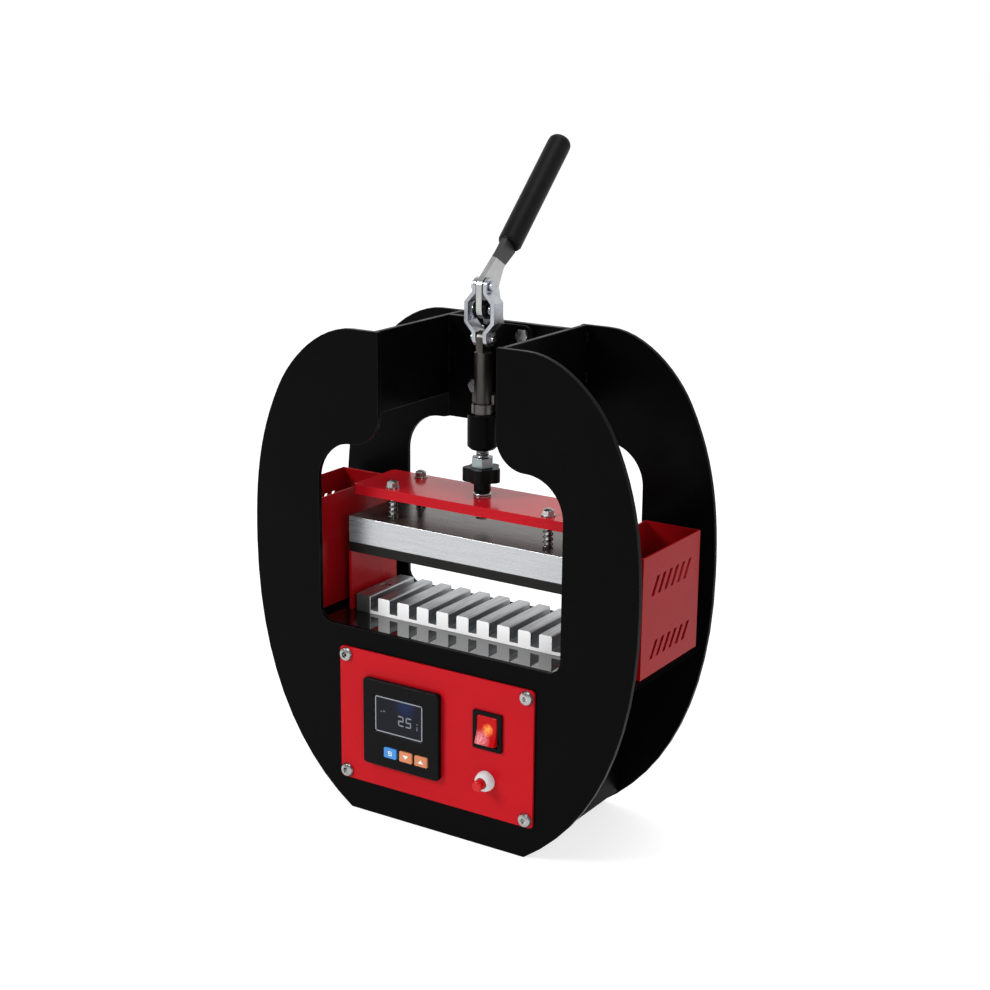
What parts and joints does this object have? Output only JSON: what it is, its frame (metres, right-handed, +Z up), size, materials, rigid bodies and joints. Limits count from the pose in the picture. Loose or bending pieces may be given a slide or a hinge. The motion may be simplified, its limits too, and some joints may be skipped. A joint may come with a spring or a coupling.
{
  "type": "pen heat press",
  "caption": "Bench press with a toggle-clamp handle that lowers a spring-mounted heated bar onto a grooved pen tray, between two baskets.",
  "frame": {"origin": "middle of the base on the table, under the centre of the whole press with its handle open", "axes": "+X to the right for a person facing the control panel, +Y to the rear, +Z up; the control panel looks toward -Y"},
  "size_m": [0.35, 0.1964, 0.5324],
  "materials": {
    "black_powder_coat": "satin black powder coat",
    "black_gloss_paint": "gloss black paint",
    "red_gloss_paint": "gloss red powder coat",
    "black_plastic": "matt black moulding",
    "dark_window": "dark tinted window",
    "blue_key": "blue key",
    "orange_key": "orange key",
    "red_rocker": "translucent red rocker",
    "white_collar": "white moulding",
    "red_cap": "red cap",
    "aluminium": "milled and brushed",
    "dark_coating": "black non-stick coating on aluminium",
    "black_rubber": "dipped black rubber",
    "zinc_plate": "bright zinc plate on steel",
    "steel": "turned and plated steel"
  },
  "bodies": {
    "frame": {"front_plate": "black_powder_coat", "rear_plate": "black_powder_coat", "left_rib": "black_powder_coat", "right_rib": "black_powder_coat", "clamp_mount_plate": "black_powder_coat", "shelf": "black_gloss_paint", "lower_cover": "black_powder_coat", "control_panel": "red_gloss_paint", "lower_left_panel_screw": "steel", "lower_right_panel_screw": "steel", "upper_right_panel_screw": "steel", "upper_left_panel_screw": "steel", "controller_case": "black_plastic", "controller_bezel": "black_plastic", "display_window": "dark_window", "rocker_frame": "black_plastic", "button_collar": "white_collar", "pen_tray": "aluminium", "left_tray_screw": "steel", "right_tray_screw": "steel", "clamp_barrel": "black_powder_coat", "clamp_body": "zinc_plate", "lower_left_clamp_bolt": "steel", "lower_right_clamp_bolt": "steel", "upper_right_clamp_bolt": "steel", "upper_left_clamp_bolt": "steel", "pivot_pin": "zinc_plate", "left_basket": "red_gloss_paint", "right_basket": "red_gloss_paint", "left_basket_strip": "black_powder_coat", "right_basket_strip": "black_powder_coat", "power_inlet": "black_plastic"},
    "handle": {"handle_bar": "zinc_plate", "handle_grip": "black_rubber", "link_pin": "zinc_plate"},
    "links": {"left_link": "zinc_plate", "right_link": "zinc_plate", "left_link_rivet": "steel", "right_link_rivet": "steel"},
    "plunger": {"plunger_rod": "steel"},
    "pressure_carriage": {"pressure_plate": "red_gloss_paint"},
    "adjuster": {"spindle": "steel", "spindle_nut": "steel", "adjusting_knob": "black_plastic", "lock_nut": "zinc_plate"},
    "heating_head": {"heater_block": "aluminium", "heat_platen": "dark_coating", "front_left_head_bolt": "steel", "front_right_head_bolt": "steel", "rear_right_head_bolt": "steel", "rear_left_head_bolt": "steel", "front_left_head_spring": "steel", "front_right_head_spring": "steel", "rear_right_head_spring": "steel", "rear_left_head_spring": "steel"},
    "rocker": {"rocker_key": "red_rocker"},
    "push_button": {"button_cap": "red_cap"},
    "set_button": {"set_key": "blue_key"},
    "down_button": {"down_key": "orange_key"},
    "up_button": {"up_key": "orange_key"}
  },
  "joints": [
    {"name": "handle_pivot", "type": "hinge", "parent": "frame", "child": "handle", "pos_m": [0, -0.01769, 0.407], "axis": [1, 0, 0], "range_deg": [0, 180]},
    {"name": "link_pivot", "type": "hinge", "parent": "handle", "child": "links", "pos_m": [0, -0.01769, 0.425], "axis": [1, 0, 0], "range_deg": [-180, 0]},
    {"name": "plunger_slide", "type": "slide", "parent": "frame", "child": "plunger", "axis": [0, 0, -1], "range_m": [0, 0.036]},
    {"name": "height_adjustment", "type": "slide", "parent": "plunger", "child": "pressure_carriage", "axis": [0, 0, -1], "range_m": [-0.00075, 0.00075]},
    {"name": "knob_turn", "type": "hinge", "parent": "pressure_carriage", "child": "adjuster", "pos_m": [0, -0.01769, 0.278], "axis": [0, 0, 1], "range_deg": [-180, 180]},
    {"name": "head_float", "type": "slide", "parent": "pressure_carriage", "child": "heating_head", "axis": [0, 0, 1], "range_m": [0, 0.003], "stiffness_N_per_m": 20000, "springref_m": -0.002, "deforming": ["front_left_head_spring", "front_right_head_spring", "rear_right_head_spring", "rear_left_head_spring"]},
    {"name": "rocker_tilt", "type": "hinge", "parent": "frame", "child": "rocker", "pos_m": [0.0503, -0.08219, 0.0975], "axis": [1, 0, 0], "range_deg": [0, 20]},
    {"name": "button_press", "type": "slide", "parent": "frame", "child": "push_button", "axis": [0, 1, 0], "range_m": [0, 0.003], "stiffness_N_per_m": 300, "springref_m": -0.002},
    {"name": "set_key_press", "type": "slide", "parent": "frame", "child": "set_button", "axis": [0, 1, 0], "range_m": [0, 0.0006], "stiffness_N_per_m": 1000, "springref_m": -0.0005},
    {"name": "down_key_press", "type": "slide", "parent": "frame", "child": "down_button", "axis": [0, 1, 0], "range_m": [0, 0.0006], "stiffness_N_per_m": 1000, "springref_m": -0.0005},
    {"name": "up_key_press", "type": "slide", "parent": "frame", "child": "up_button", "axis": [0, 1, 0], "range_m": [0, 0.0006], "stiffness_N_per_m": 1000, "springref_m": -0.0005}
  ],
  "couplings": [
    {"joint": "link_pivot", "follows": "handle_pivot", "ratio": -1},
    {"joint": "plunger_slide", "follows": "handle_pivot", "m_per_rad": 0.011459},
    {"joint": "knob_turn", "follows": "height_adjustment", "rad_per_m": 4188.8}
  ]
}
